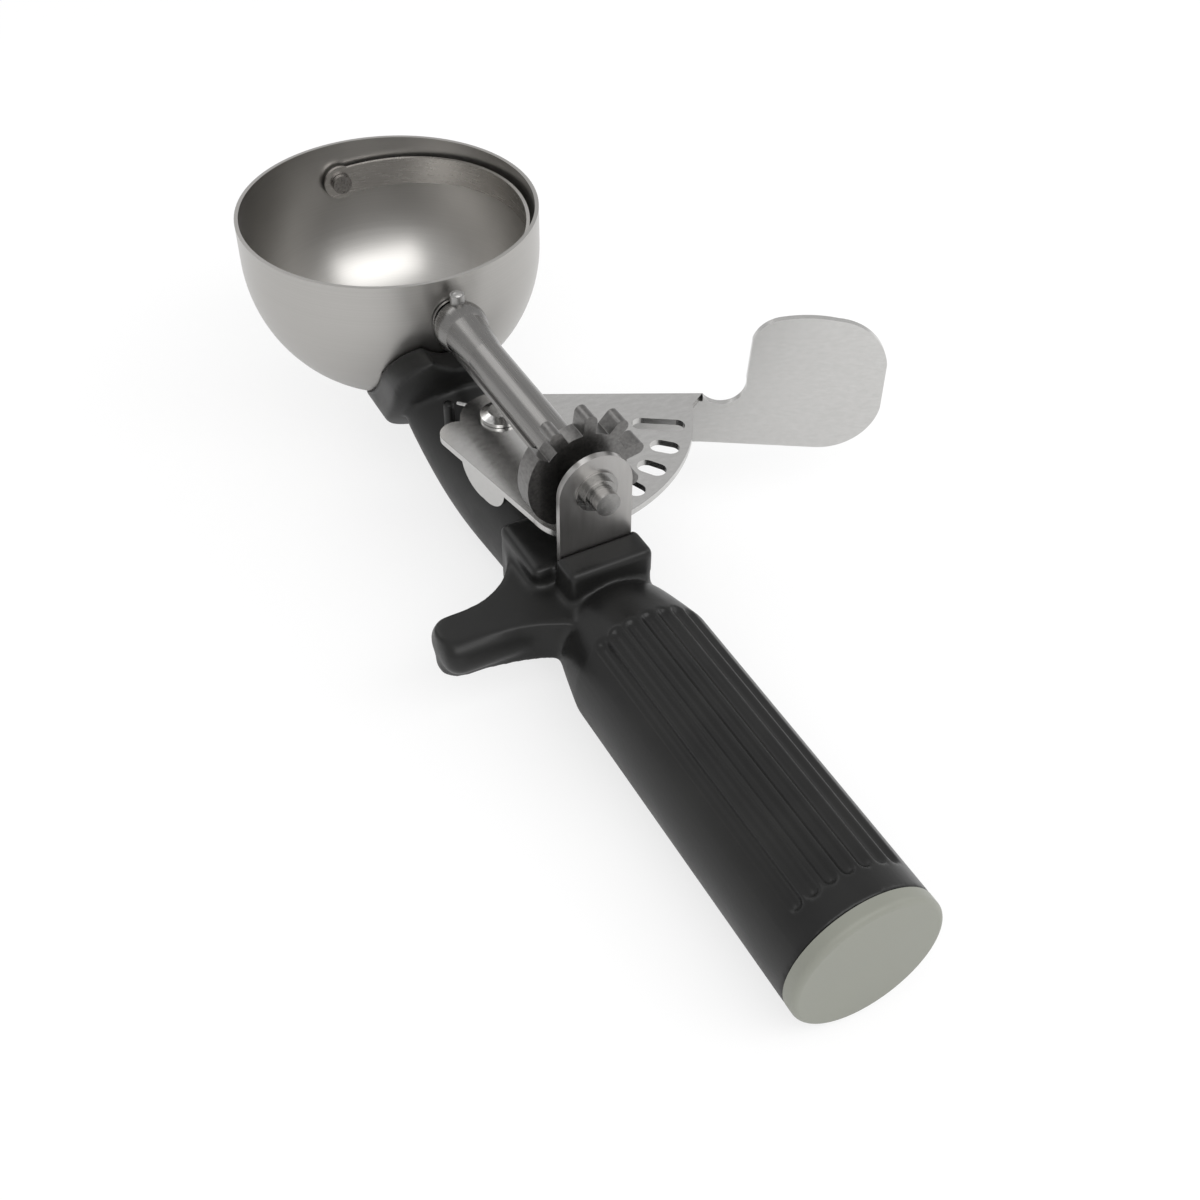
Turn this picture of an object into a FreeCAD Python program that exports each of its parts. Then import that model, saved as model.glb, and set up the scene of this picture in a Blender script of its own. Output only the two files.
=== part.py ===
import FreeCAD, Part
import Sketcher
import math
import os
import re

# Lever ice cream scoop, size 8: a spun bowl on a moulded handle, a scraper blade turned by a
# pinion, and a slotted thumb lever that drives the pinion as a crown gear.
# Frame: the origin is the centre of the handle's flat butt, +Y runs along the grip to the bowl,
# +X is the side of the thumb lever and +Z is up, out of the bowl's mouth. Millimetres, degrees.

os.makedirs("parts", exist_ok=True)
doc = FreeCAD.newDocument("ice_cream_scoop")
sheet = doc.addObject("Spreadsheet::Sheet", "Sizes")
V = FreeCAD.Vector

SIZES = [
    ("axis_height", 31.0),        # ejector axis above the grip's axis
    ("bowl_radius", 35.1),
    ("bowl_wall", 0.9),
    ("rim_rise", 9.6),            # straight wall above the ejector axis
    ("blade_gap", 0.9),           # blade to the bowl's inside
    ("blade_sheet", 0.8),
    ("blade_width", 7.0),
    ("blade_rest", 5.0),          # rest angle of the blade above level
    ("eye_radius", 4.2),
    ("rivet_radius", 1.4),
    ("rivet_head", 2.4),
    ("rivet_head_height", 1.1),
    ("washer_radius", 3.6),
    ("washer_sheet", 0.6),
    ("rod_radius", 2.6),
    ("rod_tail", 5.0),            # rod standing out behind the bracket
    ("running_gap", 0.05),
    ("tube_radius", 4.1),
    ("tube_length", 49.0),
    ("knuckle_radius", 6.0),      # swollen front end of the ejector tube
    ("knuckle_length", 10.0),
    ("knuckle_gap", 1.1),         # knuckle to the bowl's outside
    ("bush_radius", 3.7),
    ("bush_flange", 0.8),
    ("pin_radius", 1.6),
    ("pin_height", 8.4),
    ("collar_radius", 6.6),
    ("collar_length", 4.5),
    ("pinion_length", 4.5),
    ("collar_room", 8.0),         # tube's nominal end to the pinion's front face
    ("hub_radius", 8.0),
    ("tooth_tip", 13.6),
    ("tooth_width", 3.1),
    ("tooth_pitch", 36.0),
    ("tooth_first", 7.5),
    ("teeth", 7.0),
    ("blank_radius", 12.2),
    ("mesh_radius", 36.45),       # lever's pivot to the middle of the pinion's face
    ("plate_drop", 11.5),         # ejector axis down to the lever plate's top
    ("plate_sheet", 1.4),
    ("sector_radius", 41.8),
    ("slot_width", 4.0),
    ("slot_inner", 33.5),
    ("slot_outer", 40.0),
    ("slot_long_inner", 28.5),
    ("slots", 6.0),
    ("slot_pitch", 12.0),
    ("edge_angle", 27.0),         # the lever's straight edge, turned back from square
    ("edge_offset", 8.0),
    ("heel_radius", 4.1),         # rounded heel of the lever, beside the pivot
    ("heel_reach", 10.4),
    ("hub_reach", 8.8),
    ("ear_reach", 3.4),
    ("flange_height", 12.4),
    ("flange_start", 15.0),
    ("lever_reach", 84.4),        # pivot to the paddle's end, along the lever
    ("paddle_width", 30.0),
    ("paddle_height", 34.4),
    ("paddle_rise", 20.2),        # paddle's top above the plate's top
    ("paddle_corner", 12.0),
    ("stop_height", 5.4),
    ("pivot_radius", 2.5),
    ("pivot_head", 4.4),
    ("pivot_head_height", 1.6),
    ("wire_radius", 0.5),
    ("coil_radius", 4.2),
    ("coil_pitch", 1.62),
    ("coil_turns", 4.0),
    ("spring_leg", 12.0),
    ("bracket_room", 3.8),        # pinion's rear face to the bracket's front face
    ("bracket_sheet", 1.4),
    ("bracket_width", 16.0),
    ("bracket_foot", 25.0),
    ("rear_bush_radius", 4.5),
    ("grip_radius", 15.3),
    ("grip_length", 83.0),        # butt to the grip's shoulder
    ("seat_length", 15.5),        # grip's shoulder to the bracket's front face
    ("shoulder_radius", 11.5),
    ("shoulder_length", 10.0),
    ("cap_height", 3.1),
    ("cap_edge", 1.2),
    ("plug_radius", 11.0),
    ("plug_length", 8.0),
    ("flutes", 7.0),
    ("flute_pitch", 13.3),
    ("flute_radius", 1.25),
    ("flute_start", 10.0),
    ("flute_end", 76.0),
    ("neck_half_width", 10.0),
    ("neck_drop", 22.0),          # ejector axis down to the neck's top
    ("neck_bottom", 15.2),
    ("saddle_thickness", 4.0),
    ("saddle_half_width", 17.5),
    ("saddle_top", 28.0),
    ("saddle_bottom", 4.0),
    ("saddle_recess", 9.6),
    ("seat_drop", 17.6),          # ejector axis down to the mechanism's seat
    ("ledge_drop", 14.2),         # ejector axis down to the ledge behind the bracket
    ("rest_reach", 36.0),         # grip's axis to the finger rest's tip
    ("rest_thickness", 8.5),
    ("core_width", 8.0),
    ("core_sheet", 3.0),
    ("core_start", 30.0),
]
for row, (alias, value) in enumerate(SIZES, start=1):
    sheet.set("A%d" % row, alias)
    sheet.set("B%d" % row, str(value))
    sheet.setAlias("B%d" % row, alias)
# Places worked out from the sizes: each setback is counted from the bowl's centre to the grip.
PLACES = [
    ("pinion_setback", "=bowl_radius + knuckle_gap + tube_length + collar_room"),
    ("lever_setback", "=pinion_setback + pinion_length / 2 - mesh_radius"),
    ("bracket_setback", "=pinion_setback + pinion_length + bracket_room"),
    ("bowl_centre", "=grip_length + seat_length + bracket_setback"),
]
for row, (alias, text) in enumerate(PLACES, start=len(SIZES) + 1):
    sheet.set("A%d" % row, alias)
    sheet.set("B%d" % row, text)
    sheet.setAlias("B%d" % row, alias)
doc.recompute()
size = {alias: float(sheet.get(alias)) for alias, value in SIZES + PLACES}

TURN_TO = {
    "+Z": FreeCAD.Rotation(),
    "+Y": FreeCAD.Rotation(V(1, 0, 0), -90),
    "-Y": FreeCAD.Rotation(V(1, 0, 0), 90),
    "+X": FreeCAD.Rotation(V(0, 1, 0), 90),
}
pieces = []


def formula(text):
    """Size names stand bare in the formulas below; the sheet's name goes before each."""
    return re.sub(r"\b[a-z]\w+\b", lambda word: "Sizes." + word[0] if word[0] in size else word[0], text)


def solid(kind, name, place=("0", "0", "0"), along="+Z", **sizes):
    """A primitive whose sizes and place follow the sheet."""
    shape = doc.addObject("Part::" + kind, name)
    shape.Placement = FreeCAD.Placement(V(0, 0, 0), TURN_TO[along])
    for prop, text in sizes.items():
        shape.setExpression(prop, formula(text))
    for axis, text in zip("xyz", place):
        shape.setExpression("Placement.Base." + axis, formula(text))
    return shape


def fuse(name, shapes):
    joined = doc.addObject("Part::MultiFuse", name)
    joined.Shapes = shapes
    return joined


def cut(name, base, tool):
    result = doc.addObject("Part::Cut", name)
    result.Base = base
    result.Tool = tool
    return result


def piece(shape, label):
    shape.Label = label
    pieces.append(shape)
    return shape


def free_shape(label, shape, place=FreeCAD.Placement()):
    feature = doc.addObject("Part::Feature", label + "_form")
    feature.Shape = shape
    feature.Placement = place
    return piece(feature, label)


def origin_plane(body, role):
    for feature in body.Origin.OriginFeatures:
        if feature.Role == role:
            return feature


def new_sketch(body, name, role):
    sketch = body.newObject("Sketcher::SketchObject", name)
    sketch.AttachmentSupport = (origin_plane(body, role), [""])
    sketch.MapMode = "FlatFace"
    return sketch


def add_size(sketch, name, text, *rule):
    sketch.addConstraint(Sketcher.Constraint(*rule))
    sketch.renameConstraint(sketch.ConstraintCount - 1, name)
    sketch.setExpression("Constraints." + name, formula(text))


def turned(label, place, along, rings):
    """Stacked discs about one axis: each ring is (start, length, radius) as formulas."""
    axis = "xyz"["XYZ".index(along[1])]
    sign = "-" if along[0] == "-" else "+"
    parts = []
    for number, (start, length, radius) in enumerate(rings):
        spot = list(place)
        spot["xyz".index(axis)] += sign + "(" + start + ")"
        parts.append(solid("Cylinder", "%s_ring_%d" % (label, number), spot, along,
                           Height=length, Radius=radius))
    return parts[0] if len(parts) == 1 else fuse(label + "_turned", parts)


# Bowl: one spun sheet, half a ball with a short straight wall up to a plain rim.
# The ejector rod and the blade's far rivet pass through it on one line.
bowl_body = doc.addObject("PartDesign::Body", "bowl_body")
bowl_body.setExpression("Placement.Base.y", formula("bowl_centre"))
bowl_body.setExpression("Placement.Base.z", formula("axis_height"))
profile = new_sketch(bowl_body, "bowl_profile", "XZ_Plane")
r_out = size["bowl_radius"]
r_in = r_out - size["bowl_wall"]
rise = size["rim_rise"]
quarter = math.pi / 2
profile.addGeometry([
    Part.ArcOfCircle(Part.Circle(V(0, 0, 0), V(0, 0, 1), r_in), -quarter, 0),
    Part.LineSegment(V(r_in, 0, 0), V(r_in, rise, 0)),
    Part.LineSegment(V(r_in, rise, 0), V(r_out, rise, 0)),
    Part.LineSegment(V(r_out, rise, 0), V(r_out, 0, 0)),
    Part.ArcOfCircle(Part.Circle(V(0, 0, 0), V(0, 0, 1), r_out), -quarter, 0),
    Part.LineSegment(V(0, -r_out, 0), V(0, -r_in, 0)),
], False)
for rule in [("Coincident", 0, 3, -1, 1), ("Coincident", 4, 3, -1, 1), ("Coincident", 0, 2, 1, 1),
             ("Coincident", 1, 2, 2, 1), ("Coincident", 2, 2, 3, 1), ("Coincident", 3, 2, 4, 2),
             ("Coincident", 4, 1, 5, 1), ("Coincident", 5, 2, 0, 1), ("Vertical", 1), ("Vertical", 3),
             ("Horizontal", 2), ("PointOnObject", 5, 1, -2), ("PointOnObject", 5, 2, -2),
             ("PointOnObject", 0, 2, -1)]:
    profile.addConstraint(Sketcher.Constraint(*rule))
add_size(profile, "outer", "bowl_radius", "Radius", 4, r_out)
add_size(profile, "inner", "bowl_radius - bowl_wall", "Radius", 0, r_in)
add_size(profile, "rise", "rim_rise", "DistanceY", -1, 1, 1, 2, rise)
spun = bowl_body.newObject("PartDesign::Revolution", "bowl_spun")
spun.Profile = profile
spun.ReferenceAxis = (profile, ["V_Axis"])
spun.Angle = 360
doc.recompute()

LINE = ("0", "bowl_centre", "axis_height")
rod_hole = solid("Cylinder", "bowl_rod_hole", ("0", "bowl_centre - bowl_radius - 1", "axis_height"), "+Y",
                 Radius="bush_radius", Height="bowl_wall + 2")
rivet_hole = solid("Cylinder", "bowl_rivet_hole", ("0", "bowl_centre + bowl_radius - bowl_wall - 1", "axis_height"),
                   "+Y", Radius="rivet_radius", Height="bowl_wall + 2")
piece(cut("bowl_pierced", bowl_body, fuse("bowl_holes", [rod_hole, rivet_hole])), "bowl")

# Scraper blade: a half hoop of spring sheet with a flat eye at each end, just inside the bowl.
# The near eye is riveted over the rod's end; the far eye turns on a rivet in the bowl's wall.
hoop_outer = "bowl_radius - bowl_wall - blade_gap"
hoop = cut("hoop_ring",
           solid("Cylinder", "hoop_outside", ("0", "0", "-blade_width / 2"), Height="blade_width",
                 Radius=hoop_outer),
           solid("Cylinder", "hoop_inside", ("0", "0", "-blade_width"), Height="blade_width * 2",
                 Radius=hoop_outer + " - blade_sheet"))
half = solid("Box", "hoop_half", ("0", "-bowl_radius", "-blade_width"), Length="bowl_radius",
             Width="bowl_radius * 2", Height="blade_width * 2")
strip = doc.addObject("Part::Common", "hoop_strip")
strip.Base = hoop
strip.Tool = half
near_eye = solid("Cylinder", "eye_near", ("0", "-(" + hoop_outer + ")", "0"), "+Y", Height="blade_sheet",
                 Radius="eye_radius")
far_eye = solid("Cylinder", "eye_far", ("0", hoop_outer + " - blade_sheet", "0"), "+Y", Height="blade_sheet",
                Radius="eye_radius")
near_bore = solid("Cylinder", "eye_near_bore", ("0", "-bowl_radius", "0"), "+Y", Height="bowl_radius / 2",
                  Radius="rod_radius")
far_bore = solid("Cylinder", "eye_far_bore", ("0", "bowl_radius / 2", "0"), "+Y", Height="bowl_radius / 2",
                 Radius="rivet_radius + running_gap")
blade = cut("blade_cut", fuse("blade_hoop", [strip, near_eye, far_eye]), fuse("blade_bores", [near_bore, far_bore]))
blade.Placement = FreeCAD.Placement(V(0, 0, 0), FreeCAD.Rotation(V(0, 1, 0), -size["blade_rest"]))
blade.setExpression("Placement.Rotation.Angle", formula("-blade_rest"))
blade.setExpression("Placement.Base.y", formula("bowl_centre"))
blade.setExpression("Placement.Base.z", formula("axis_height"))
piece(blade, "scraper_blade")

# Blade rivet: its shank fills the bowl's far hole and carries the blade's eye between its head
# inside and a washer against the wall.
eye_inside = "bowl_radius - bowl_wall - blade_gap - blade_sheet - 0.15"
rivet = turned("blade_rivet", LINE, "+Y", [
    (eye_inside + " - rivet_head_height", "rivet_head_height", "rivet_head"),
    (eye_inside + " - 0.1", "blade_sheet + blade_gap + bowl_wall + 0.3", "rivet_radius"),
    ("bowl_radius", "rivet_head_height", "rivet_head"),
])
piece(rivet, "blade_pivot_rivet")
washer = cut("washer_cut",
             turned("washer_disc", LINE, "+Y", [("bowl_radius - bowl_wall - blade_gap + 0.05", "washer_sheet",
                                                 "washer_radius")]),
             turned("washer_bore", LINE, "+Y", [("bowl_radius / 2", "bowl_radius", "rivet_radius")]))
piece(washer, "blade_pivot_washer")

# Front bush: a flanged ring pressed into the bowl's near hole, where the rod turns.
bush = cut("front_bush_cut",
           turned("front_bush_body", LINE, "-Y", [
               ("bowl_radius - bowl_wall - 0.3", "bowl_wall + 0.3 + bush_flange", "bush_radius"),
               ("bowl_radius + 0.2", "bush_flange - 0.2", "bush_radius + 1"),
           ]),
           turned("front_bush_bore", LINE, "-Y", [("bowl_radius / 2", "bowl_radius", "rod_radius + running_gap")]))
piece(bush, "front_bush")

# Ejector rod: one straight rod from the blade's eye, through bush, tube, pinion and bracket.
rod_front = "bowl_radius - bowl_wall - blade_gap - blade_sheet - 0.9"
rod_back = "bracket_setback + bracket_sheet + rod_tail"
rod_solid = turned("rod", LINE, "-Y", [
    (rod_front, rod_back + " - (" + rod_front + ")", "rod_radius"),
    (rod_front + " - 0.3", "1", "rod_radius + 0.9"),
])
pin_spot = "bowl_centre - bowl_radius - knuckle_gap - 2.6"
pin_tool = solid("Cylinder", "pin_hole", ("0", pin_spot, "axis_height - knuckle_radius"), Height="knuckle_radius * 3",
                 Radius="pin_radius")
piece(cut("rod_pierced", rod_solid, pin_tool), "ejector_rod")

# Ejector tube: drawn sheet with a folded seam along it and a swollen knuckle at the bowl's end.
knuckle_mid = "bowl_centre - bowl_radius - knuckle_gap - knuckle_length + knuckle_radius"
knuckle = solid("Sphere", "knuckle", ("0", knuckle_mid, "axis_height"), Radius="knuckle_radius")
knuckle_taper = solid("Cone", "knuckle_taper", ("0", knuckle_mid + " - 3", "axis_height"), "-Y",
                      Radius1="knuckle_radius - 0.9", Radius2="tube_radius", Height="knuckle_length")
knuckle_face = solid("Box", "knuckle_face", ("-knuckle_radius", "bowl_centre - bowl_radius - knuckle_gap",
                                             "axis_height - knuckle_radius"),
                     Length="knuckle_radius * 2", Width="knuckle_length", Height="knuckle_radius * 2")
tube = turned("tube", LINE, "-Y", [("bowl_radius + knuckle_gap", "tube_length + knuckle_length / 2", "tube_radius")])
seam = solid("Box", "tube_seam", ("-tube_radius - 0.5", "bowl_centre - bowl_radius - tube_length", "axis_height - 2.2"),
             Length="1.6", Width="tube_length - knuckle_length", Height="1.2")
tube_bore = turned("tube_bore", LINE, "-Y", [("bowl_radius", "tube_length * 1.5", "rod_radius")])
tube_tools = fuse("tube_tools", [knuckle_face, tube_bore, pin_tool])
piece(cut("tube_cut", fuse("tube_body", [knuckle, knuckle_taper, tube, seam]), tube_tools), "ejector_tube")

# Cross pin: ties tube and rod together at the knuckle, its domed head towards the rim.
pin_shank = solid("Cylinder", "pin_shank", ("0", pin_spot, "axis_height - knuckle_radius + 1"),
                  Height="pin_height + knuckle_radius - 1.6", Radius="pin_radius")
pin_dome = solid("Sphere", "pin_dome", ("0", pin_spot, "axis_height + pin_height - pin_radius"), Radius="pin_radius")
piece(fuse("pin", [pin_shank, pin_dome]), "knuckle_cross_pin")

# Collar: crimped over the tube's rear end, it holds the tube against the pinion.
collar_front = "pinion_setback - collar_length"
collar_skirt = solid("Cone", "collar_skirt", ("0", "bowl_centre - (" + collar_front + ")", "axis_height"), "-Y",
                     Radius1="tube_radius + 0.5", Radius2="collar_radius", Height="collar_length - 1")
collar_disc = turned("collar_disc", LINE, "-Y", [("pinion_setback - 1", "1", "collar_radius")])
collar_bore = turned("collar_bore", LINE, "-Y", [(collar_front + " - 1", "collar_length + 2", "tube_radius")])
piece(cut("collar_cut", fuse("collar_body", [collar_skirt, collar_disc]), collar_bore), "pinion_collar")

# Pinion: seven round-ended fingers over the part that meshes, and a plain edge where none is needed.
# Angles are counted from straight down, rising towards the lever's side.
pinion = doc.addObject("PartDesign::Body", "pinion_body")
hub_sketch = new_sketch(pinion, "hub_sketch", "XY_Plane")
hub_sketch.addGeometry([Part.Circle(V(0, 0, 0), V(0, 0, 1), size["hub_radius"]),
                        Part.Circle(V(0, 0, 0), V(0, 0, 1), size["rod_radius"])], False)
hub_sketch.addConstraint(Sketcher.Constraint("Coincident", 0, 3, -1, 1))
hub_sketch.addConstraint(Sketcher.Constraint("Coincident", 1, 3, -1, 1))
add_size(hub_sketch, "hub", "hub_radius", "Radius", 0, size["hub_radius"])
add_size(hub_sketch, "bore", "rod_radius", "Radius", 1, size["rod_radius"])
hub = pinion.newObject("PartDesign::Pad", "hub_pad")
hub.Profile = hub_sketch
hub.setExpression("Length", formula("pinion_length"))
doc.recompute()


def finger_sketch(body, name):
    """A radial slot outline along the sketch's X axis: straight sides and a round tip."""
    sketch = new_sketch(body, name, "XY_Plane")
    half = size["tooth_width"] / 2
    root = size["hub_radius"] - 2
    end = size["tooth_tip"] - half
    sketch.addGeometry([
        Part.LineSegment(V(root, half, 0), V(root, -half, 0)),
        Part.LineSegment(V(root, -half, 0), V(end, -half, 0)),
        Part.ArcOfCircle(Part.Circle(V(end, 0, 0), V(0, 0, 1), half), -math.pi / 2, math.pi / 2),
        Part.LineSegment(V(end, half, 0), V(root, half, 0)),
    ], False)
    for rule in [("Coincident", 0, 2, 1, 1), ("Coincident", 1, 2, 2, 1), ("Coincident", 2, 2, 3, 1),
                 ("Coincident", 3, 2, 0, 1), ("PointOnObject", 2, 3, -1), ("Horizontal", 1),
                 ("Horizontal", 3), ("Vertical", 0), ("Vertical", 2, 1, 2, 2)]:
        sketch.addConstraint(Sketcher.Constraint(*rule))
    add_size(sketch, "half_width", "tooth_width / 2", "Radius", 2, half)
    add_size(sketch, "root", "hub_radius - 2", "DistanceX", -1, 1, 0, 1, root)
    add_size(sketch, "end", "tooth_tip - tooth_width / 2", "DistanceX", -1, 1, 2, 3, end)
    return sketch


finger = pinion.newObject("PartDesign::Pad", "finger_pad")
finger.Profile = finger_sketch(pinion, "finger_sketch")
finger.setExpression("Length", formula("pinion_length"))
fingers = pinion.newObject("PartDesign::PolarPattern", "fingers")
fingers.Originals = [finger]
fingers.Axis = (finger.Profile[0], ["N_Axis"])
fingers.setExpression("Angle", formula("tooth_pitch * (teeth - 1)"))
fingers.setExpression("Occurrences", formula("teeth"))
pinion.Tip = fingers
doc.recompute()
# The pattern starts on the body's X axis; the placement turns that finger to its rest angle.
blank = solid("Cylinder", "pinion_blank", Radius="blank_radius", Height="pinion_length", Angle="96")
blank.Placement = FreeCAD.Placement(V(0, 0, 0), FreeCAD.Rotation(V(0, 0, 1), 232 + size["tooth_first"]))
blank_bore = solid("Cylinder", "pinion_blank_bore", Radius="rod_radius", Height="pinion_length")
wheel = doc.addObject("Part::MultiFuse", "pinion_wheel")
wheel.Shapes = [pinion, cut("pinion_blank_cut", blank, blank_bore)]
wheel.Placement = FreeCAD.Placement(V(0, 0, 0), FreeCAD.Rotation(V(1, 0, 0), 90)
                                    .multiply(FreeCAD.Rotation(V(0, 0, 1), -90 - size["tooth_first"])))
wheel.setExpression("Placement.Base.y", formula("bowl_centre - pinion_setback"))
wheel.setExpression("Placement.Base.z", formula("axis_height"))
piece(wheel, "pinion")

# Rear bracket: an upright steel arch whose foot is set in the handle. Its stepped bush carries the rod.
bracket = doc.addObject("PartDesign::Body", "bracket_body")
arch = new_sketch(bracket, "arch_sketch", "XZ_Plane")
half = size["bracket_width"] / 2
foot = -size["bracket_foot"]
arch.addGeometry([
    Part.ArcOfCircle(Part.Circle(V(0, 0, 0), V(0, 0, 1), half), 0, math.pi),
    Part.LineSegment(V(-half, 0, 0), V(-half, foot, 0)),
    Part.LineSegment(V(-half, foot, 0), V(half, foot, 0)),
    Part.LineSegment(V(half, foot, 0), V(half, 0, 0)),
    Part.Circle(V(0, 0, 0), V(0, 0, 1), size["rear_bush_radius"]),
], False)
for rule in [("Coincident", 0, 3, -1, 1), ("Coincident", 4, 3, -1, 1), ("Coincident", 0, 2, 1, 1),
             ("Coincident", 1, 2, 2, 1), ("Coincident", 2, 2, 3, 1), ("Coincident", 3, 2, 0, 1),
             ("Vertical", 1), ("Vertical", 3), ("Horizontal", 2), ("PointOnObject", 0, 1, -1)]:
    arch.addConstraint(Sketcher.Constraint(*rule))
add_size(arch, "half_width", "bracket_width / 2", "Radius", 0, half)
add_size(arch, "foot", "bracket_foot", "DistanceY", 2, 1, -1, 1, -foot)
add_size(arch, "eye", "rear_bush_radius", "Radius", 4, size["rear_bush_radius"])
arch_pad = bracket.newObject("PartDesign::Pad", "arch_pad")
arch_pad.Profile = arch
arch_pad.setExpression("Length", formula("bracket_sheet"))
bracket.setExpression("Placement.Base.y", formula("bowl_centre - bracket_setback"))
bracket.setExpression("Placement.Base.z", formula("axis_height"))
piece(bracket, "rear_bracket")
rear_bush = cut("rear_bush_cut",
                turned("rear_bush_body", LINE, "-Y", [
                    ("bracket_setback - 0.9", "bracket_sheet + 1.5", "rear_bush_radius"),
                    ("bracket_setback - 0.9", "0.9", "rear_bush_radius + 1"),
                    ("bracket_setback - 1.8", "bracket_sheet + 3.8", "rear_bush_radius - 1"),
                ]),
                turned("rear_bush_bore", LINE, "-Y", [("bracket_setback - 5", "15", "rod_radius + running_gap")]))
piece(rear_bush, "rear_bush")

# Lever: one stamped sheet. A slotted sector turns on the pivot as a crown gear under the pinion,
# a flange is folded down along its straight edge and grows into the upright thumb paddle,
# and a short stop is folded down along the heel.
PIVOT = V(0, size["bowl_centre"] - size["lever_setback"], 0)
plate_top = size["axis_height"] - size["plate_drop"]
plate_bottom = plate_top - size["plate_sheet"]
sheet_t = size["plate_sheet"]
edge_turn = FreeCAD.Rotation(V(0, 0, 1), -size["edge_angle"])


sector_r = size["sector_radius"]
offset = size["edge_offset"]
heel = size["heel_radius"]
heel_x = size["heel_reach"]
corner_s = math.sqrt(sector_r ** 2 - offset ** 2)
ear_s = corner_s + size["ear_reach"]


def along_edge(s, out):
    """A point given along the straight edge and out from the pivot's line, in the sheet's plane."""
    return edge_turn.multVec(V(s, out, 0))


def on_sector(angle):
    turn = math.radians(angle)
    return V(sector_r * math.cos(turn), sector_r * math.sin(turn), 0)


ear_foot = on_sector(-size["edge_angle"] - 7)
heel_mid = V(-heel_x, -1.2, 0)
left_top = heel_mid + V(-heel * 0.99, -heel * 0.16, 0)
left_low = V(-heel_x * 0.83, -sector_r * 0.8, 0)
sector_end = on_sector(-96)
outline = [
    Part.LineSegment(V(0, 0, 0), along_edge(0, offset)),
    Part.LineSegment(along_edge(0, offset), along_edge(ear_s, offset)),
    Part.LineSegment(along_edge(ear_s, offset), along_edge(ear_s - 2.4, offset - 4)),
    Part.LineSegment(along_edge(ear_s - 2.4, offset - 4), ear_foot),
    Part.Arc(ear_foot, on_sector(-65), sector_end),
    Part.Arc(sector_end, (sector_end + left_low) * 0.5 + V(-0.8, -0.6, 0), left_low),
    Part.LineSegment(left_low, left_top),
    Part.LineSegment(left_top, V(0, 0, 0)),
]
plate = Part.Face(Part.Wire([edge.toShape() for edge in outline])).extrude(V(0, 0, sheet_t))
plate = plate.fuse([Part.makeCylinder(heel, sheet_t, heel_mid),
                    Part.makeCylinder(size["hub_reach"], sheet_t)]).removeSplitter()
for number in range(int(size["slots"])):
    inner = size["slot_inner"]
    if number == int(size["slots"]) - 1:
        inner = size["slot_long_inner"]
    turn = number * size["slot_pitch"] - 90 - size["tooth_first"] * size["slot_pitch"] / size["tooth_pitch"]
    half = size["slot_width"] / 2
    start = inner + half
    end = size["slot_outer"] - half
    tool = Part.makeBox(end - start, half * 2, sheet_t * 3, V(start, -half, -sheet_t))
    tool = tool.fuse([Part.makeCylinder(half, sheet_t * 3, V(start, 0, -sheet_t)),
                      Part.makeCylinder(half, sheet_t * 3, V(end, 0, -sheet_t))])
    tool.rotate(V(0, 0, 0), V(0, 0, 1), turn)
    plate = plate.cut(tool)
plate = plate.cut(Part.makeCylinder(size["pivot_radius"] + size["running_gap"], sheet_t * 3, V(0, 0, -sheet_t)))
plate.translate(V(0, 0, plate_bottom))

# The upright: drawn in the fold's own plane, s along the lever and height in Z.
reach = size["lever_reach"]
left = reach - size["paddle_width"]
top = plate_top + size["paddle_rise"]
low = top - size["paddle_height"]
flange_low = plate_top - size["flange_height"]
corner = size["paddle_corner"]
neck_s = ear_s


def upright_point(s, height):
    return V(s, 0, height)


outline = [
    Part.LineSegment(upright_point(size["flange_start"], plate_bottom + 0.2), upright_point(neck_s, plate_bottom + 0.2)),
    Part.LineSegment(upright_point(neck_s, plate_bottom + 0.2), upright_point(neck_s, plate_top)),
    Part.Arc(upright_point(neck_s, plate_top), upright_point(left - 4.6, plate_top - 1.8),
             upright_point(left - 0.6, plate_top + 4.5)),
    Part.LineSegment(upright_point(left - 0.6, plate_top + 4.5), upright_point(left, top - 5.5)),
    Part.Arc(upright_point(left, top - 5.5), upright_point(left + 2.4, top - 1.9), upright_point(left + 6, top - 0.4)),
    Part.Arc(upright_point(left + 6, top - 0.4), upright_point(left + 12, top), upright_point(left + 18, top - 0.8)),
    Part.Arc(upright_point(left + 18, top - 0.8), upright_point(reach - 3.5, top - 5.2),
             upright_point(reach - 0.3, top - 12)),
    Part.LineSegment(upright_point(reach - 0.3, top - 12), upright_point(reach - 0.3, low + 11)),
    Part.Arc(upright_point(reach - 0.3, low + 11), upright_point(reach - 3.8, low + 3.8),
             upright_point(reach - 14, low)),
    Part.LineSegment(upright_point(reach - 14, low), upright_point(neck_s, flange_low)),
    Part.LineSegment(upright_point(neck_s, flange_low), upright_point(size["flange_start"] + 4, flange_low)),
    Part.LineSegment(upright_point(size["flange_start"] + 4, flange_low), upright_point(size["flange_start"],
                                                                                       plate_bottom + 0.2)),
]
upright = Part.Face(Part.Wire([edge.toShape() for edge in outline])).extrude(V(0, -sheet_t, 0))
upright.translate(V(0, offset, 0))
upright.Placement = FreeCAD.Placement(V(0, 0, 0), edge_turn).multiply(upright.Placement)
left_way = (left_low - left_top).normalize()
stop_from = left_top + left_way * 7
stop_to = left_top + left_way * 22
inward = V(-left_way.y, left_way.x, 0) * sheet_t
down = V(0, 0, -size["stop_height"])
lift = V(0, 0, plate_bottom + 0.2)
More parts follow.
